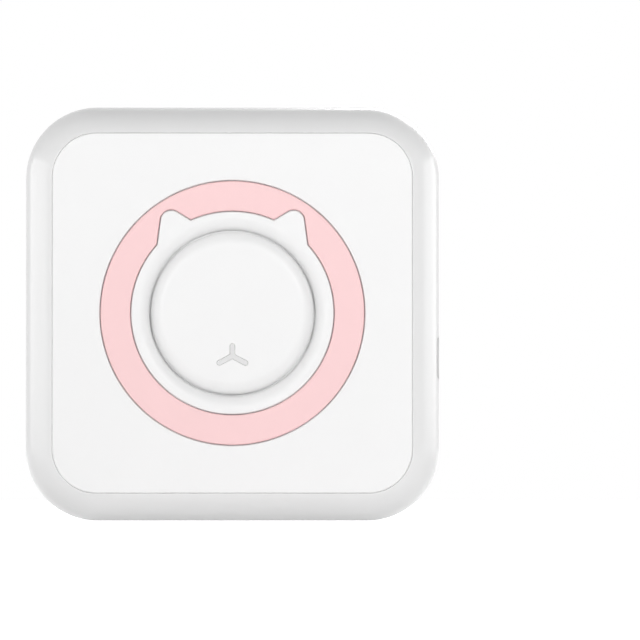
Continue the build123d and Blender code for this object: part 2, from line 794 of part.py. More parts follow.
idler_phase = 0.0
to_idler = idler_angle
platen_phase = mating_phase(idler_phase, idler_teeth, to_idler - pi, platen_teeth)
small_phase = mating_phase(idler_phase, idler_teeth, small_bearing, reduction_small_teeth)
large_phase = 0.0
pinion_phase = mating_phase(large_phase, reduction_large_teeth, pinion_bearing, pinion_teeth)

with BuildPart() as platen_gear:
    add(gear_blank(platen_axis, platen_teeth, platen_phase, -gear_out, -gear_in))
    add(rod(*platen_axis, shaft_radius, -width, width), mode=Mode.SUBTRACT)
write(platen_gear.part, "platen_gear")

with BuildPart() as idler_gear:
    add(gear_blank(idler_axis, idler_teeth, idler_phase, -gear_out, -gear_in))
    add(rod(*idler_axis, idler_hub, -gear_in, -plate_out - plate_gap))
    add(rod(*idler_axis, axle_radius + axle_clearance, -width, width), mode=Mode.SUBTRACT)
write(idler_gear.part, "idler_gear")

with BuildPart() as reduction_gear:
    add(gear_blank(reduction_axis, reduction_small_teeth, small_phase, -large_in, -gear_in))
    add(gear_blank(reduction_axis, reduction_large_teeth, large_phase, -large_out, -large_in))
    add(rod(*reduction_axis, reduction_hub, -gear_in, -plate_out - plate_gap))
    add(rod(*reduction_axis, axle_radius + axle_clearance, -width, width), mode=Mode.SUBTRACT)
write(reduction_gear.part, "reduction_gear")

with BuildPart() as motor_pinion:
    add(gear_blank(motor_axis, pinion_teeth, pinion_phase, -large_out - pinion_over, -large_in + pinion_over))
    add(rod(*motor_axis, motor_shaft_radius, -width, width), mode=Mode.SUBTRACT)
write(motor_pinion.part, "motor_pinion")

motor_end = plate_in - motor_length
shaft_end = -motor_end - shaft_in_can
write(rod(*motor_axis, motor_shaft_radius, -large_out - shaft_over, shaft_end), "motor_shaft")
write(rod(*motor_axis, motor_radius - motor_wall - rotor_gap, -plate_in + motor_wall + rotor_gap,
          shaft_end - rotor_gap) - rod(*motor_axis, motor_shaft_radius, -width, width), "rotor_magnet")

with BuildPart() as motor_can:
    add(rod(*motor_axis, motor_radius, -plate_in, -motor_end))
    chamfer(motor_can.faces().sort_by(Axis.X)[-1].edges(), motor_chamfer)
    add(rod(*motor_axis, motor_radius + motor_flange_step, -plate_in, -plate_in + motor_flange))
    add(rod(*motor_axis, motor_radius - motor_wall, -plate_in + motor_wall, -motor_end - motor_wall),
        mode=Mode.SUBTRACT)
    add(rod(*motor_axis, motor_shaft_radius + axle_clearance, -plate_in, -motor_end - motor_wall),
        mode=Mode.SUBTRACT)
write(motor_can.part, "motor_can")

with BuildPart() as gear_axles:
    add(rod(*idler_axis, axle_radius, -gear_out - axle_over_idler, -plate_in))
    add(rod(*reduction_axis, axle_radius, -large_out - axle_over_reduction, -plate_in))
write(gear_axles.part, "gear_axles")

# Bent sheet frame that holds the head, the motor, the gears and, when shut, the platen bushes
with BuildPart() as print_frame:
    add(region(spring_wall_front, spring_wall_back, frame_bottom, frame_top, -plate_in, plate_in))
    add(region(spring_wall_front, head_face - shelf_gap, guide_z - frame_sheet, guide_z,
               -roll_length / 2, roll_length / 2))
    fillet(print_frame.edges().filter_by(Axis.X).group_by(Axis.Y)[-1], frame_rounding)
    bracket_front = motor_y - bracket_margin
    bracket_low = reduction_axis[1] - bracket_margin
    for side in (-1, 1):
        plate_from, plate_to = sorted((side * plate_in, side * plate_out))
        with BuildSketch(Plane.YZ.offset(plate_from)):
            with BuildLine():
                Polyline((spring_wall_front, frame_bottom), (split_y, frame_bottom),
                         (platen_y + plate_reach, platen_z - plate_drop),
                         (platen_y + plate_reach, platen_z + plate_rise), (split_y, frame_top),
                         (spring_wall_front, frame_top), close=True)
            make_face()
            if side < 0:
                with Locations((bracket_front, bracket_low)):
                    Rectangle(spring_wall_back - bracket_front, frame_top - bracket_low,
                              align=(Align.MIN, Align.MIN))
        extrude(amount=plate_to - plate_from)
    with BuildSketch(Plane.YZ.offset(-width)):
        with Locations(platen_axis):
            Circle(bush_radius + cradle_gap)
        with BuildSketch(mode=Mode.PRIVATE) as sweep_band:
            with Locations(hinge):
                Circle(hinge_to_platen + bush_radius + cradle_gap)
                Circle(hinge_to_platen - bush_radius - cradle_gap, mode=Mode.SUBTRACT)
            with Locations((platen_y + cradle_gap, platen_z)):
                Rectangle(cradle_sweep, cradle_sweep, align=(Align.MIN, Align.CENTER), mode=Mode.INTERSECT)
        add(sweep_band.sketch)
        with Locations((pivot_y, pivot_z)):
            Circle(pivot_radius + axle_clearance)
    extrude(amount=2 * width, mode=Mode.SUBTRACT)
    add(rod(*motor_axis, pinion_hole, -plate_out - 1, -plate_in + 1), mode=Mode.SUBTRACT)
    for axis in (idler_axis, reduction_axis):
        add(rod(*axis, axle_radius, -plate_out - 1, -plate_in + 1), mode=Mode.SUBTRACT)
    for x in (-frame_screw_x, frame_screw_x):
        add(post(x, frame_screw_z, screw_radius + screw_clearance, spring_wall_front - 1, spring_wall_back + 1),
            mode=Mode.SUBTRACT)
write(print_frame.part, "print_frame")

# Print head: a ceramic strip on an aluminium plate that pivots near its lower edge
sink_bottom = pivot_z - sink_under_pivot
head_low = platen_z - head_low_share * head_height
with BuildPart() as head_heatsink:
    add(region(sink_back, sink_back + sink_thickness, sink_bottom, sink_bottom + sink_height,
               -plate_in + sink_side_gap, plate_in - sink_side_gap))
    add(rod(pivot_y, pivot_z, pivot_radius, -plate_out, plate_out))
write(head_heatsink.part, "head_heatsink")

with BuildPart() as print_head:
    add(region(head_face - head_thickness, head_face, head_low, head_low + head_height,
               -roll_length / 2, roll_length / 2))
    chamfer(print_head.edges().filter_by(Axis.X).group_by(Axis.Y)[-1], head_chamfer)
write(print_head.part, "print_head")

with BuildPart() as head_springs:
    for x in (-spring_spacing / 2, spring_spacing / 2):
        rise = spring_length - spring_wire - 2 * spring_end_gap
        start = (x, spring_wall_back + spring_wire / 2 + spring_end_gap, platen_z)
        with BuildLine():
            turns = Helix(pitch=rise / spring_turns, height=rise, radius=spring_radius, center=start,
                          direction=(0, 1, 0))
        with BuildSketch(Plane(turns @ 0, z_dir=turns % 0)):
            RegularPolygon(spring_wire / 2, spring_sides)
        sweep(path=turns, is_frenet=True)
write(head_springs.part, "head_springs")

with BuildPart() as paper_sensor:
    sensor_z = frame_bottom + sensor_rise
    add(region(spring_wall_back, spring_wall_back + sensor_depth, sensor_z, sensor_z + sensor_height,
               sensor_x, sensor_x + sensor_width))
    fillet(paper_sensor.edges().filter_by(Axis.Y), sensor_rounding)
write(paper_sensor.part, "paper_sensor")

# Tear bar: a toothed strip along the front edge of the paper slot
bar_end = slot_length / 2 - panel_gap
tooth_count = int(2 * bar_end / tooth_pitch)
saw_edge = [((i - tooth_count) * tooth_pitch / 2, slot_front + tooth_reach * (i % 2))
            for i in range(2 * tooth_count + 1)]
with BuildPart() as tear_bar:
    with BuildSketch(Plane.XY.offset(height - bar_rebate)):
        with BuildLine():
            Polyline((-bar_end, slot_front - bar_depth), (-bar_end, slot_front), *saw_edge,
                     (bar_end, slot_front), (bar_end, slot_front - bar_depth), close=True)
        make_face()
    extrude(amount=bar_thickness)
write(tear_bar.part, "tear_bar")

# Paper: the roll on its core, and the strip that runs up past the head to the tear bar
with BuildPart() as paper_roll:
    add(rod(bay_y, roll_z, roll_radius, -roll_length / 2, roll_length / 2))
    add(rod(bay_y, roll_z, core_radius, -roll_length, roll_length), mode=Mode.SUBTRACT)
write(paper_roll.part, "paper_roll")

with BuildPart() as roll_core:
    add(rod(bay_y, roll_z, core_radius, -roll_length / 2, roll_length / 2))
    add(rod(bay_y, roll_z, core_radius - core_wall, -roll_length, roll_length), mode=Mode.SUBTRACT)
write(roll_core.part, "roll_core")

guide_span = sqrt((web_y - bay_y) ** 2 + (guide_z - roll_z) ** 2)
web_clear = roll_radius + web_roll_gap + web_thickness / 2
leave_angle = atan2(guide_z - roll_z, web_y - bay_y) + acos(web_clear / guide_span)
leave = (bay_y + web_clear * cos(leave_angle), roll_z + web_clear * sin(leave_angle))
with BuildPart() as paper_web:
    with BuildSketch(Plane.YZ) as strip:
        with BuildLine() as route:
            Polyline(leave, (web_y, guide_z), (web_y, height - web_short))
        trace(route.line, line_width=web_thickness)
    extrude(strip.sketch, amount=roll_length / 2, both=True)
write(paper_web.part, "paper_web")

# Screws
with BuildPart() as housing_screws:
    for x in (-boss_x, boss_x):
        for z in (boss_low, boss_high):
            add(screw(x, tab_front + tab_thickness, z, housing_screw_shank, screw_head_height))
write(housing_screws.part, "housing_screws")

with BuildPart() as board_screws:
    for x in (-post_spacing_x / 2, post_spacing_x / 2):
        for z in (board_lift - post_spacing_z / 2, board_lift + post_spacing_z / 2):
            add(screw(x, board_back, z, board_screw_shank, board_screw_head))
write(board_screws.part, "board_screws")

with BuildPart() as frame_screws:
    for x in (-frame_screw_x, frame_screw_x):
        add(screw(x, spring_wall_back, frame_screw_z, frame_screw_shank, screw_head_height))
write(frame_screws.part, "frame_screws")

coupling_ratios = {
    "idler": -platen_teeth / idler_teeth,
    "reduction": platen_teeth / reduction_small_teeth,
    "pinion": -platen_teeth / reduction_small_teeth * reduction_large_teeth / pinion_teeth,
    "roll": platen_radius / roll_radius,
}
for name, place in (("hinge", hinge), ("platen", platen_axis), ("idler", idler_axis),
                    ("reduction", reduction_axis), ("motor", motor_axis), ("pivot", (pivot_y, pivot_z)),
                    ("roll", (bay_y, roll_z))):
    print(name, round(place[0], 4), round(place[1], 4))
print("ratios", {k: round(v, 6) for k, v in coupling_ratios.items()})
print("cover opens to", cover_open, "head tilts by", head_tilt, "button travels", button_travel)
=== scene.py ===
import json
import math

import bmesh
import bpy
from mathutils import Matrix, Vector


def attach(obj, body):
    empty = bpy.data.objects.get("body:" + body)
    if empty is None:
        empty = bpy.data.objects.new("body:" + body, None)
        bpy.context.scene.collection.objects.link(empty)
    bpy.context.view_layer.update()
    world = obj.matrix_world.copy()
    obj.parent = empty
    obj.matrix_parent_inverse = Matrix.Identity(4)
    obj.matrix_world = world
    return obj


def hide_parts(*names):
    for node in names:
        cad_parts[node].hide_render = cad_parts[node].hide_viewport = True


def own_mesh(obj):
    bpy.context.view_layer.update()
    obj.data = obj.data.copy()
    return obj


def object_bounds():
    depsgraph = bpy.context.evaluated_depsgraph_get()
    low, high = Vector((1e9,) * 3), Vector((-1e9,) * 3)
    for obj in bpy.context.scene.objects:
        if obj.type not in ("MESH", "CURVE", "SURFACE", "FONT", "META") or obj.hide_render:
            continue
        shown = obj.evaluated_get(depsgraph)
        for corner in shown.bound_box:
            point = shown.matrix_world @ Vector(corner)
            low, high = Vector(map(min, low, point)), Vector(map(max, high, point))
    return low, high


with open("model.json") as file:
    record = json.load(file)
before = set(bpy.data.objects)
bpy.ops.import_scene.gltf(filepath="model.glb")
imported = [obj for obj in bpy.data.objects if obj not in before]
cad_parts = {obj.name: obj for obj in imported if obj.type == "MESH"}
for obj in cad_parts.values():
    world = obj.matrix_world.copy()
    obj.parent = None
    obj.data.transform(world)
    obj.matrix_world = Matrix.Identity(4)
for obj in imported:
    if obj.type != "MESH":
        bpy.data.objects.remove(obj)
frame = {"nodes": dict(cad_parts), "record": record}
cad_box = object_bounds()

MM = 0.001
NODES = frame["nodes"]
LOW, HIGH = cad_box
WIDTH, HEIGHT = HIGH.x - LOW.x, HIGH.z - LOW.z
Y_FRONT = LOW.y

# The view of the photograph: the casing's outline and centre in a picture of 640 pixels, and the camera's
# lens and place; the casing is widest at RIM_DEPTH behind its front
PICTURE_SIZE = 640
OUTLINE_WIDTH = 413
OUTLINE_CENTRE = (232.5, 314.0)
LENS = 400.0
SENSOR = 36.0
RIM_DEPTH = 8.8 * MM
CAMERA_SIDE = 3.5 * MM
CAMERA_HEIGHT = 6.0 * MM
NEAR_LIMIT, FAR_LIMIT = 0.01, 20.0

# The button's gap: its two walls, the round edges beside it and the depth of the flange below
HOLE_RADIUS = 16.84 * MM
BUTTON_RADIUS = 16.49 * MM
EDGE_WIDTH = 2.6 * MM
EDGE_DEPTH = 2.45 * MM
FLANGE_DEPTH = 3.0 * MM
ARC_STEPS = 16
TURN_STEPS = 192
CUTTER_REACH = 1.0 * MM

# Where the panel's recess for the ring begins, as a distance from the button's axis, and the roundings of
# fine edges with the steps in them
RECESS_FROM = 19.0 * MM
FINE_ROUNDING = 0.3 * MM
FINE_STEPS = 3
RING_INSET = 0.01 * MM
PANEL_INSET = -0.03 * MM

# The seam between the casing's halves and the rounding of its edges, and how far behind the front the rim's
# inner edge lies at most
SEAM_FROM = 3.7 * MM
SEAM_TO = 4.1 * MM
SEAM_ROUNDING = 0.3 * MM
RIM_LIP = 0.1 * MM

# The height of the platen's axis, and the roll's axis as (Y, Z)
PLATEN_HEIGHT = 72.0 * MM
ROLL_AXIS = (2.0 * MM, 18.3 * MM)

# The back of the circuit board, the columns and rows of small parts beside the battery, and the parts' sizes
BOARD_BACK = -15.4 * MM
PART_COLUMNS = (26.2 * MM, 28.0 * MM, 29.8 * MM)
ROWS_FROM, ROWS_TO, ROW_COUNT = 39.0 * MM, 56.0 * MM, 11
PART_BODY = (0.9 * MM, 0.45 * MM, 0.8 * MM)
PART_END = (0.3 * MM, 0.5 * MM, 0.85 * MM)

# Copies of CAD meshes: points merged, flat faces joined, edges sharp enough to round or to show, how far the
# normal of a wall along Y may lean towards Y, and how close to the front a point counts as on it
MERGE_DISTANCE = 0.0005 * MM
FLAT_ANGLE = math.radians(0.5)
SHARP_ANGLE = math.radians(40.0)
SMOOTH_ANGLE = math.radians(35.0)
WALL_LIMIT = 0.3
FRONT_LIMIT = 0.01 * MM

# What a surface group has until its material sets it
PLAIN_COLOUR = (0.8, 0.8, 0.8, 1.0)
PLAIN_ROUGHNESS = 0.35
NO_STRETCH = (1.0, 1.0, 1.0)

# Moulded plastic: the slow change of tone, the grain of the tool and its gloss
CLOUD_SCALE, CLOUD_DETAIL, CLOUD_ROUGHNESS = 45.0, 3.0, 0.5
GRAIN_SCALE, GRAIN_DETAIL, GRAIN_ROUGHNESS = 9000.0, 2.0, 0.6
TONE_CHANGE = 0.02
ROUGHNESS_CHANGE = 0.06
GRAIN_STRENGTH = 0.5
PLASTIC_IOR = 1.5
COAT_ROUGHNESS = 0.12

# Metal: the pattern of the drawn lines, their relief, and how far tone and roughness vary between them
LINE_SCALE, LINE_DETAIL, LINE_ROUGHNESS = 2500.0, 3.0, 0.5
LINE_STRENGTH, LINE_HEIGHT = 0.25, 0.003 * MM
TONE_LOW, TONE_HIGH = 0.82, 1.08
ROUGHNESS_LOW, ROUGHNESS_HIGH = -0.06, 0.1

# Paper and print head: the pitch and shade of the windings on the roll's ends, how squarely a face must point
# along X to be such an end, and half the heater line's width
WINDING_PITCH = 0.45 * MM
WINDING_SHADE = 0.09
END_LIMIT = 0.7
HEATER_HALF = 0.5 * MM
HEATER_COLOUR = (84, 62, 48)

# Light: the world's share, the floor's own glow and surface, and the lamps' places, sizes and watts
AMBIENT = 0.22
FLOOR_GLOW = 0.8
FLOOR_SIZE = 6.0
FLOOR_TONE = 0.92
FLOOR_ROUGHNESS = 0.9
FLOOR_SPECULAR = 0.1
LAMPS = {
    "front_left_lamp": ((-0.42, -1.25, 0.28), (0.3, 0.3), 4.8),
    "front_right_lamp": ((0.31, -0.88, 0.24), (0.24, 0.24), 2.9),
    "left_lamp": ((-0.62, 0.08, 0.15), (0.7, 0.26), 1.15),
    "right_lamp": ((0.62, 0.22, 0.15), (0.6, 0.26), 1.15),
    "back_lamp": ((0.35, 1.2, 0.62), (0.6, 0.6), 6.7),
}


def linear(*srgb):
    """A colour given in 0-255 display values, as the shader wants it."""
    shares = [c / 255 for c in srgb]
    return (*[c / 12.92 if c <= 0.04045 else ((c + 0.055) / 1.055) ** 2.4 for c in shares], 1.0)


def new_material(name):
    material = bpy.data.materials.new(name)
    material.use_nodes = True
    tree = material.node_tree
    return material, tree, tree.nodes["Principled BSDF"]


def new_group(name, inputs, outputs):
    """A shader node group with named number, colour and vector sockets."""
    kinds = {"value": "NodeSocketFloat", "colour": "NodeSocketColor", "vector": "NodeSocketVector"}
    group = bpy.data.node_groups.new(name, "ShaderNodeTree")
    for socket, (kind, default) in inputs.items():
        made = group.interface.new_socket(name=socket, in_out="INPUT", socket_type=kinds[kind])
        made.default_value = default
    for socket, kind in outputs.items():
        group.interface.new_socket(name=socket, in_out="OUTPUT", socket_type=kinds[kind])
    return group, group.nodes.new("NodeGroupInput"), group.nodes.new("NodeGroupOutput")


def math_node(tree, operation, first, second=None):
    """A sum, product or other operation on numbers and sockets."""
    node = tree.nodes.new("ShaderNodeMath")
    node.operation = operation
    for socket, value in zip(node.inputs, (first, second)):
        if isinstance(value, bpy.types.NodeSocket):
            tree.links.new(value, socket)
        elif value is not None:
            socket.default_value = value
    return node.outputs[0]


def object_place(tree):
    """The place on the piece, in the object's own coordinates."""
    return tree.nodes.new("ShaderNodeTexCoord").outputs["Object"]


def noise(tree, place, scale, detail, roughness):
    """An even random pattern from 0 to 1."""
    node = tree.nodes.new("ShaderNodeTexNoise")
    tree.links.new(place, node.inputs["Vector"])
    node.inputs["Scale"].default_value = scale
    node.inputs["Detail"].default_value = detail
    node.inputs["Roughness"].default_value = roughness
    return node.outputs["Fac"]


def spread(tree, amount, low, high):
    """A number that runs from low to high as the amount runs from 0 to 1."""
    node = tree.nodes.new("ShaderNodeMapRange")
    tree.links.new(amount, node.inputs["Value"])
    node.inputs["To Min"].default_value = low
    node.inputs["To Max"].default_value = high
    return node.outputs["Result"]


def toned(tree, colour, factor):
    """A colour made darker or brighter by a factor."""
    node = tree.nodes.new("ShaderNodeVectorMath")
    node.operation = "SCALE"
    tree.links.new(colour, node.inputs[0])
    tree.links.new(factor, node.inputs["Scale"])
    return node.outputs[0]


def moulded_surface_group():
    """Fine spark-eroded grain, uneven gloss and a slow change of tone, for moulded plastic."""
    group, source, sink = new_group(
        "moulded_surface",
        {"Colour": ("colour", PLAIN_COLOUR), "Roughness": ("value", PLAIN_ROUGHNESS),
         "Tone change": ("value", TONE_CHANGE)},
        {"Colour": "colour", "Roughness": "value", "Height": "value"})
    place = object_place(group)
    clouds = noise(group, place, CLOUD_SCALE, CLOUD_DETAIL, CLOUD_ROUGHNESS)
    grain = noise(group, place, GRAIN_SCALE, GRAIN_DETAIL, GRAIN_ROUGHNESS)
    swing = source.outputs["Tone change"]
    change = math_node(group, "MULTIPLY", math_node(group, "SUBTRACT", clouds, 0.5), swing)
    colour = toned(group, source.outputs["Colour"], math_node(group, "ADD", change, 1.0))
    uneven = math_node(group, "MULTIPLY", math_node(group, "SUBTRACT", grain, 0.5), ROUGHNESS_CHANGE)
    group.links.new(colour, sink.inputs["Colour"])
    group.links.new(math_node(group, "ADD", source.outputs["Roughness"], uneven), sink.inputs["Roughness"])
    group.links.new(grain, sink.inputs["Height"])
    return group


def drawn_lines_group():
    """Fine drawn or ground lines along one direction, for metal: the stretch is least along the lines."""
    group, source, sink = new_group(
        "drawn_lines",
        {"Colour": ("colour", PLAIN_COLOUR), "Roughness": ("value", PLAIN_ROUGHNESS),
         "Stretch": ("vector", NO_STRETCH)},
        {"Colour": "colour", "Roughness": "value", "Height": "value"})
    mapping = group.nodes.new("ShaderNodeMapping")
    group.links.new(object_place(group), mapping.inputs["Vector"])
    group.links.new(source.outputs["Stretch"], mapping.inputs["Scale"])
    lines = noise(group, mapping.outputs["Vector"], LINE_SCALE, LINE_DETAIL, LINE_ROUGHNESS)
    colour = toned(group, source.outputs["Colour"], spread(group, lines, TONE_LOW, TONE_HIGH))
    uneven = spread(group, lines, ROUGHNESS_LOW, ROUGHNESS_HIGH)
    group.links.new(colour, sink.inputs["Colour"])
    group.links.new(math_node(group, "ADD", source.outputs["Roughness"], uneven), sink.inputs["Roughness"])
    group.links.new(lines, sink.inputs["Height"])
    return group


MOULDED = moulded_surface_group()
DRAWN = drawn_lines_group()


def surfaced_material(name, group, values, strength, depth):
    """A material whose colour, gloss and relief come from a surface group with its own values."""
    material, tree, shader = new_material(name)
    surface = tree.nodes.new("ShaderNodeGroup")
    surface.node_tree = group
    for socket, value in values.items():
        surface.inputs[socket].default_value = value
    tree.links.new(surface.outputs["Colour"], shader.inputs["Base Color"])
    tree.links.new(surface.outputs["Roughness"], shader.inputs["Roughness"])
    bump = tree.nodes.new("ShaderNodeBump")
    bump.inputs["Strength"].default_value = strength
    bump.inputs["Distance"].default_value = depth
    tree.links.new(surface.outputs["Height"], bump.inputs["Height"])
    tree.links.new(bump.outputs["Normal"], shader.inputs["Normal"])
    return material, shader


def moulded_plastic(name, colour, roughness, grain_depth=0.004, tone=TONE_CHANGE, coat=0.0):
    """Injection-moulded plastic with the grain of its tool, whose depth is given in millimetres."""
    values = {"Colour": colour, "Tone change": tone, "Roughness": roughness}
    material, shader = surfaced_material(name, MOULDED, values, GRAIN_STRENGTH, grain_depth * MM)
    shader.inputs["IOR"].default_value = PLASTIC_IOR
    shader.inputs["Coat Weight"].default_value = coat
    shader.inputs["Coat Roughness"].default_value = COAT_ROUGHNESS
    return material


def brushed_metal(name, colour, roughness, stretch=NO_STRETCH):
    """Metal with fine drawn or ground lines along one direction."""
    values = {"Colour": colour, "Roughness": roughness, "Stretch": stretch}
    material, shader = surfaced_material(name, DRAWN, values, LINE_STRENGTH, LINE_HEIGHT)
    shader.inputs["Metallic"].default_value = 1.0
    return material


def add_windings(material):
    """Fine rings round the roll's axis on the faces that show the paper's edge."""
    tree = material.node_tree
    shader = tree.nodes["Principled BSDF"]
    place = tree.nodes.new("ShaderNodeTexCoord")
    parts = tree.nodes.new("ShaderNodeSeparateXYZ")
    tree.links.new(place.outputs["Object"], parts.inputs[0])
    across = math_node(tree, "SUBTRACT", parts.outputs["Y"], ROLL_AXIS[0])
    above = math_node(tree, "SUBTRACT", parts.outputs["Z"], ROLL_AXIS[1])
    square = math_node(tree, "ADD", math_node(tree, "MULTIPLY", across, across),
                       math_node(tree, "MULTIPLY", above, above))
    radius = math_node(tree, "SQRT", square)
    rings = math_node(tree, "SINE", math_node(tree, "MULTIPLY", radius, 2 * math.pi / WINDING_PITCH))
    facing = tree.nodes.new("ShaderNodeSeparateXYZ")
    tree.links.new(place.outputs["Normal"], facing.inputs[0])
    edge = math_node(tree, "GREATER_THAN", math_node(tree, "ABSOLUTE", facing.outputs["X"]), END_LIMIT)
    depth = math_node(tree, "MULTIPLY", math_node(tree, "ADD", rings, 1.0), WINDING_SHADE)
    shade = math_node(tree, "MULTIPLY", depth, edge)
    plain = shader.inputs["Base Color"].links[0].from_socket
    tree.links.new(toned(tree, plain, math_node(tree, "SUBTRACT", 1.0, shade)), shader.inputs["Base Color"])
    return material


def add_heater_line(material):
    """The dark glazed line of the heater dots on the side of the head that meets the platen."""
    tree = material.node_tree
    shader = tree.nodes["Principled BSDF"]
    parts = tree.nodes.new("ShaderNodeSeparateXYZ")
    tree.links.new(object_place(tree), parts.inputs[0])
    off = math_node(tree, "ABSOLUTE", math_node(tree, "SUBTRACT", parts.outputs["Z"], PLATEN_HEIGHT))
    line = math_node(tree, "LESS_THAN", off, HEATER_HALF)
    mix = tree.nodes.new("ShaderNodeMixRGB")
    tree.links.new(line, mix.inputs["Fac"])
    tree.links.new(shader.inputs["Base Color"].links[0].from_socket, mix.inputs["Color1"])
    mix.inputs["Color2"].default_value = linear(*HEATER_COLOUR)
    tree.links.new(mix.outputs[0], shader.inputs["Base Color"])
    return material


def make_materials():
    along_x = (0.04, 1.0, 1.0)
    return {
        "casing": moulded_plastic("casing_white", linear(235, 235, 235), 0.3, coat=0.3),
        "panel": moulded_plastic("panel_white", linear(242, 242, 242), 0.42),
        "accent": moulded_plastic("ring_pink", linear(248, 209, 210), 0.42, tone=0.03),
        "mark": moulded_plastic("window_grey", linear(223, 223, 223), 0.5),
        "steel": brushed_metal("ground_steel", linear(205, 205, 208), 0.28, along_x),
        "board": moulded_plastic("board_green", linear(22, 92, 58), 0.35, grain_depth=0.01, tone=0.2),
        "shield": brushed_metal("tinned_shield", linear(208, 208, 208), 0.32),
        "black_plastic": moulded_plastic("black_plastic", linear(34, 34, 36), 0.5, tone=0.1),
        "led": moulded_plastic("led_body", linear(232, 232, 214), 0.25),
        "battery": moulded_plastic("battery_foil", linear(186, 189, 194), 0.3, tone=0.08),
        "platen": moulded_plastic("platen_rubber", linear(38, 38, 40), 0.75, grain_depth=0.01, tone=0.15),
        "acetal": moulded_plastic("acetal_gear", linear(234, 231, 221), 0.35, tone=0.04),
        "brass": brushed_metal("turned_brass", linear(205, 172, 104), 0.25, along_x),
        "motor": brushed_metal("motor_steel", linear(205, 206, 207), 0.3, along_x),
        "frame_sheet": brushed_metal("zinc_sheet", linear(196, 199, 200), 0.38, (1.0, 1.0, 0.05)),
        "heatsink": brushed_metal("bare_aluminium", linear(214, 216, 218), 0.4, along_x),
        "ceramic": add_heater_line(moulded_plastic("ceramic_head", linear(238, 236, 230), 0.25, tone=0.03)),
        "tear_steel": brushed_metal("tear_steel", linear(210, 210, 212), 0.3, along_x),
        "paper": add_windings(
            moulded_plastic("thermal_paper", linear(244, 244, 243), 0.7, grain_depth=0.006)),
        "core": moulded_plastic("core_black", linear(32, 32, 33), 0.45, tone=0.1),
        "screws": brushed_metal("screw_steel", linear(170, 170, 172), 0.35),
    }


def dress_nodes(materials):
    """Gives every CAD node the material of its slot in the record."""
    for subpart in frame["record"]["subparts"]:
        node = NODES[subpart["node"]]
        node.data.materials.clear()
        node.data.materials.append(materials[subpart["material_slot"]])


def place_piece(name, mesh, material, body, replaced=()):
    """Puts a finished mesh in the scene, on its body, in place of the nodes that it replaces."""
    mesh.materials.clear()
    mesh.materials.append(material)
    piece = bpy.data.objects.new(name, mesh)
    bpy.context.scene.collection.objects.link(piece)
    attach(piece, body)
    if replaced:
        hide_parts(*replaced)
    return piece


def smooth_by_angle(mesh):
    mesh.polygons.foreach_set("use_smooth", [True] * len(mesh.polygons))
    mesh.set_sharp_from_angle(angle=SMOOTH_ANGLE)


def even_normals(mesh):
    """Shades the large faces flat and lets their rounded edges take the turn."""
    holder = bpy.data.objects.new("holder", mesh)
    bpy.context.scene.collection.objects.link(holder)
    weighting = holder.modifiers.new("weighting", "WEIGHTED_NORMAL")
    weighting.keep_sharp = True
    graph = bpy.context.evaluated_depsgraph_get()
    result = bpy.data.meshes.new_from_object(holder.evaluated_get(graph))
    bpy.data.objects.remove(holder)
    return result


def draw_in(form, inset):
    """Moves the walls that run along Y into the solid, or out of it where the inset is negative."""
    moves = []
    for v in form.verts:
        walls = [f.normal for f in v.link_faces if abs(f.normal.y) < WALL_LIMIT]
        if walls:
            mean = sum(walls, Vector()).normalized()
            moves.append((v, -mean * inset))
    for v, move in moves:
        v.co += move


def softened_copy(node, width, chosen, inset=0.0):
    """A merged copy of a CAD node with small roundings on the sharp edges that are chosen."""
    form = bmesh.new()
    form.from_mesh(NODES[node].data)
    bmesh.ops.remove_doubles(form, verts=form.verts, dist=MERGE_DISTANCE)
    form.normal_update()
    draw_in(form, inset)
    bmesh.ops.dissolve_limit(form, angle_limit=FLAT_ANGLE, verts=form.verts, edges=form.edges)
    sharp = [e for e in form.edges if len(e.link_faces) == 2 and e.calc_face_angle() > SHARP_ANGLE
             and all(chosen(v.co) for v in e.verts)]
    bmesh.ops.bevel(form, geom=sharp, offset=width, segments=FINE_STEPS, profile=0.5, affect="EDGES")
    mesh = bpy.data.meshes.new(node + "_soft")
    form.to_mesh(mesh)
    form.free()
    smooth_by_angle(mesh)
    return even_normals(mesh)


def turned_about_button(outline):
    """A closed ring or disc form made by turning an outline of (radius, depth behind the front) points."""
    form = bmesh.new()
    rings = []
    for k in range(TURN_STEPS):
        turn = 2 * math.pi * k / TURN_STEPS
        rings.append([form.verts.new((r * math.cos(turn), Y_FRONT + d, HEIGHT / 2 + r * math.sin(turn)))
                      for r, d in outline])
    count = len(outline)
    for k, ring in enumerate(rings):
        after = rings[(k + 1) % TURN_STEPS]
        for i in range(count):
            j = (i + 1) % count
            form.faces.new((ring[i], ring[j], after[j], after[i]))
    bmesh.ops.remove_doubles(form, verts=form.verts, dist=MERGE_DISTANCE)
    bmesh.ops.recalc_face_normals(form, faces=form.faces)
    mesh = bpy.data.meshes.new("turned")
    form.to_mesh(mesh)
    form.free()
    return mesh


def cut_away(mesh, cutter):
    """The mesh without what lies inside the cutter."""
    pair = [bpy.data.objects.new(label, data) for label, data in (("blank", mesh), ("cutter", cutter))]
    for holder in pair:
        bpy.context.scene.collection.objects.link(holder)
    blank, tool = pair
    cut = blank.modifiers.new("cut", "BOOLEAN")
    cut.object = tool
    cut.operation = "DIFFERENCE"
    cut.solver = "EXACT"
    result = bpy.data.meshes.new_from_object(blank.evaluated_get(bpy.context.evaluated_depsgraph_get()))
    for holder in pair:
        bpy.data.objects.remove(holder)
    return result


def edge_arc(edge, side):
    """The round edge at the button's gap, from the flat front down: side 1 on the panel, -1 on the button."""
    points = []
    for k in range(ARC_STEPS + 1):
        turn = math.pi / 2 * k / ARC_STEPS
        points.append((edge + side * EDGE_WIDTH * (1 - math.sin(turn)), EDGE_DEPTH * (1 - math.cos(turn))))
    return points


def from_button(point):
    """Distance from the button's axis."""
    return math.hypot(point.x, point.z - HEIGHT / 2)


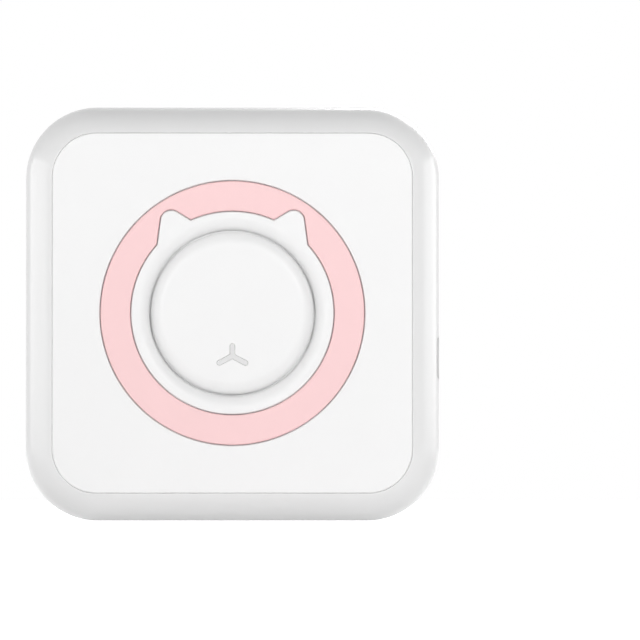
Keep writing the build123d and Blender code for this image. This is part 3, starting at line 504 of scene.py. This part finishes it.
def on_front(point):
    return abs(point.y - Y_FRONT) < FRONT_LIMIT


def make_face(materials):
    """Panel, ring and button front with the round edges at the button's gap and fine roundings elsewhere."""
    def recess(point):
        return on_front(point) and from_button(point) > RECESS_FROM

    hole = edge_arc(HOLE_RADIUS, 1)
    through = 2 * FLANGE_DEPTH
    hole_cutter = turned_about_button([(0.0, -CUTTER_REACH), (0.0, through), (HOLE_RADIUS, through),
                                       *reversed(hole), (hole[0][0], -CUTTER_REACH)])
    panel = cut_away(softened_copy("face_panel", FINE_ROUNDING, recess, inset=PANEL_INSET), hole_cutter)
    smooth_by_angle(panel)
    place_piece("panel_front", even_normals(panel), materials["panel"], "housing", ["face_panel"])
    edge = edge_arc(BUTTON_RADIUS, -1)
    outside = BUTTON_RADIUS + CUTTER_REACH
    edge_cutter = turned_about_button([(edge[0][0], -CUTTER_REACH), *edge, (BUTTON_RADIUS, FLANGE_DEPTH),
                                       (outside, FLANGE_DEPTH), (outside, -CUTTER_REACH)])
    button = cut_away(softened_copy("power_button", FINE_ROUNDING / 2, on_front), edge_cutter)
    smooth_by_angle(button)
    place_piece("button_front", even_normals(button), materials["panel"], "button", ["power_button"])
    ring = softened_copy("accent_ring", FINE_ROUNDING, on_front, inset=RING_INSET)
    place_piece("ring_front", ring, materials["accent"], "housing", ["accent_ring"])


def at_seam(point):
    """On the edge between the casing's halves, or on the rim's inner edge beside the panel."""
    return SEAM_FROM < point.y < SEAM_TO or point.y < Y_FRONT + RIM_LIP


def make_casing(materials):
    """The casing's front half and its cover with the roundings of the edges at their seam."""
    for node, body in (("front_housing", "housing"), ("paper_cover", "cover")):
        mesh = softened_copy(node, SEAM_ROUNDING, at_seam)
        place_piece(node + "_soft", mesh, materials["casing"], body, [node])


def make_springs(materials):
    """The two pressing springs, on a copy of their CAD mesh with data of their own."""
    mesh = NODES["head_springs"].data.copy()
    mesh.name = "pressing_springs"
    springs = place_piece("pressing_springs", mesh, materials["steel"], "housing", ["head_springs"])
    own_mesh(springs)


def repeat_group():
    """A geometry group that puts one box on every point."""
    group = bpy.data.node_groups.new("repeat_box", "GeometryNodeTree")
    group.interface.new_socket(name="Points", in_out="INPUT", socket_type="NodeSocketGeometry")
    sockets = {}
    for name, kind in (("Size", "NodeSocketVector"), ("Material", "NodeSocketMaterial")):
        sockets[name] = group.interface.new_socket(name=name, in_out="INPUT", socket_type=kind).identifier
    group.interface.new_socket(name="Boxes", in_out="OUTPUT", socket_type="NodeSocketGeometry")
    source, sink = group.nodes.new("NodeGroupInput"), group.nodes.new("NodeGroupOutput")
    box = group.nodes.new("GeometryNodeMeshCube")
    copies = group.nodes.new("GeometryNodeInstanceOnPoints")
    real = group.nodes.new("GeometryNodeRealizeInstances")
    colour = group.nodes.new("GeometryNodeSetMaterial")
    group.links.new(source.outputs["Size"], box.inputs["Size"])
    group.links.new(source.outputs["Points"], copies.inputs["Points"])
    group.links.new(box.outputs["Mesh"], copies.inputs["Instance"])
    group.links.new(copies.outputs["Instances"], real.inputs["Geometry"])
    group.links.new(real.outputs["Geometry"], colour.inputs["Geometry"])
    group.links.new(source.outputs["Material"], colour.inputs["Material"])
    group.links.new(colour.outputs["Geometry"], sink.inputs["Boxes"])
    return group, sockets


def boxes_at(name, points, size, material, repeat):
    """A mesh of equal boxes at the given points."""
    group, sockets = repeat
    base = bpy.data.meshes.new(name)
    base.from_pydata(points, [], [])
    holder = bpy.data.objects.new(name + "_places", base)
    bpy.context.scene.collection.objects.link(holder)
    modifier = holder.modifiers.new("repeat", "NODES")
    modifier.node_group = group
    modifier[sockets["Size"]] = size
    modifier[sockets["Material"]] = material
    mesh = bpy.data.meshes.new_from_object(holder.evaluated_get(bpy.context.evaluated_depsgraph_get()))
    bpy.data.objects.remove(holder)
    return mesh


def make_board_parts(materials):
    """Small resistors and capacitors with tinned ends, soldered to the back of the circuit board."""
    repeat = repeat_group()
    pitch = (ROWS_TO - ROWS_FROM) / (ROW_COUNT - 1)
    places = [(x, ROWS_FROM + pitch * k) for x in PART_COLUMNS for k in range(ROW_COUNT)]
    bodies = [(x, BOARD_BACK + PART_BODY[1] / 2, z) for x, z in places]
    shift = (PART_BODY[0] + PART_END[0]) / 2
    ends = [(x + side * shift, BOARD_BACK + PART_END[1] / 2, z) for x, z in places for side in (-1, 1)]
    for name, points, size, slot in (("board_parts", bodies, PART_BODY, "black_plastic"),
                                     ("board_part_ends", ends, PART_END, "shield")):
        mesh = boxes_at(name, points, size, materials[slot], repeat)
        place_piece(name, mesh, materials[slot], "housing")


def make_camera():
    """A long lens low in front of the button, with the casing left of the middle as in the photograph."""
    scale = WIDTH / OUTLINE_WIDTH
    half = PICTURE_SIZE / 2
    widest = Y_FRONT + RIM_DEPTH
    distance = PICTURE_SIZE * scale * LENS / SENSOR
    aim_side = (half - OUTLINE_CENTRE[0]) * scale
    aim_height = HEIGHT / 2 + (OUTLINE_CENTRE[1] - half) * scale
    aim = Vector((aim_side, widest, aim_height))
    place = Vector((CAMERA_SIDE, widest - distance, CAMERA_HEIGHT))
    camera = bpy.data.objects.new("camera", bpy.data.cameras.new("camera"))
    bpy.context.scene.collection.objects.link(camera)
    camera.data.lens = LENS
    camera.data.sensor_width = SENSOR
    camera.data.clip_start = NEAR_LIMIT
    camera.data.clip_end = FAR_LIMIT
    camera.location = place
    camera.rotation_euler = (aim - place).to_track_quat("-Z", "Y").to_euler()
    bpy.context.scene.camera = camera


def soft_lamp(name, place, target, size, power):
    """A rectangular lamp that faces its target."""
    lamp = bpy.data.lights.new(name, "AREA")
    lamp.shape = "RECTANGLE"
    lamp.size, lamp.size_y = size
    lamp.energy = power
    holder = bpy.data.objects.new(name, lamp)
    bpy.context.scene.collection.objects.link(holder)
    holder.location = place
    holder.rotation_euler = (Vector(target) - Vector(place)).to_track_quat("-Z", "Y").to_euler()


def show_backdrop(tree):
    """A mask of the rays that see the white backdrop itself: camera, glossy and transmission rays."""
    path = tree.nodes.new("ShaderNodeLightPath")
    direct = math_node(tree, "MAXIMUM", path.outputs["Is Camera Ray"], path.outputs["Is Transmission Ray"])
    return math_node(tree, "MAXIMUM", direct, path.outputs["Is Glossy Ray"])


def make_world():
    """A white backdrop whose light on the object is only the ambient share."""
    world = bpy.data.worlds.new("studio")
    bpy.context.scene.world = world
    world.use_nodes = True
    tree = world.node_tree
    ambient = tree.nodes["Background"]
    ambient.inputs["Color"].default_value = (1.0, 1.0, 1.0, 1.0)
    ambient.inputs["Strength"].default_value = AMBIENT
    white = tree.nodes.new("ShaderNodeBackground")
    white.inputs["Color"].default_value = (1.0, 1.0, 1.0, 1.0)
    mix = tree.nodes.new("ShaderNodeMixShader")
    tree.links.new(show_backdrop(tree), mix.inputs[0])
    tree.links.new(ambient.outputs[0], mix.inputs[1])
    tree.links.new(white.outputs[0], mix.inputs[2])
    tree.links.new(mix.outputs[0], tree.nodes["World Output"].inputs["Surface"])


def make_floor():
    """A pale floor that shows white where no shadow falls on it."""
    bpy.ops.mesh.primitive_plane_add(size=FLOOR_SIZE, location=(0.0, 0.0, 0.0))
    floor = bpy.context.object
    floor.name = "floor"
    material, tree, shader = new_material("floor_white")
    shader.inputs["Base Color"].default_value = (FLOOR_TONE, FLOOR_TONE, FLOOR_TONE, 1.0)
    shader.inputs["Roughness"].default_value = FLOOR_ROUGHNESS
    shader.inputs["Specular IOR Level"].default_value = FLOOR_SPECULAR
    glow = tree.nodes.new("ShaderNodeEmission")
    tree.links.new(math_node(tree, "MULTIPLY", show_backdrop(tree), FLOOR_GLOW), glow.inputs["Strength"])
    total = tree.nodes.new("ShaderNodeAddShader")
    tree.links.new(shader.outputs[0], total.inputs[0])
    tree.links.new(glow.outputs[0], total.inputs[1])
    tree.links.new(total.outputs[0], tree.nodes["Material Output"].inputs["Surface"])
    floor.data.materials.append(material)


def make_studio():
    """White surroundings, a pale floor, soft lamps from the front, the sides and the back."""
    bpy.context.scene.view_settings.view_transform = "Standard"
    make_world()
    make_floor()
    middle = (0.0, 0.0, HEIGHT / 2)
    for name, (place, size, power) in LAMPS.items():
        soft_lamp(name, place, middle, size, power)


materials = make_materials()
dress_nodes(materials)
make_face(materials)
make_casing(materials)
make_springs(materials)
make_board_parts(materials)
make_camera()
make_studio()
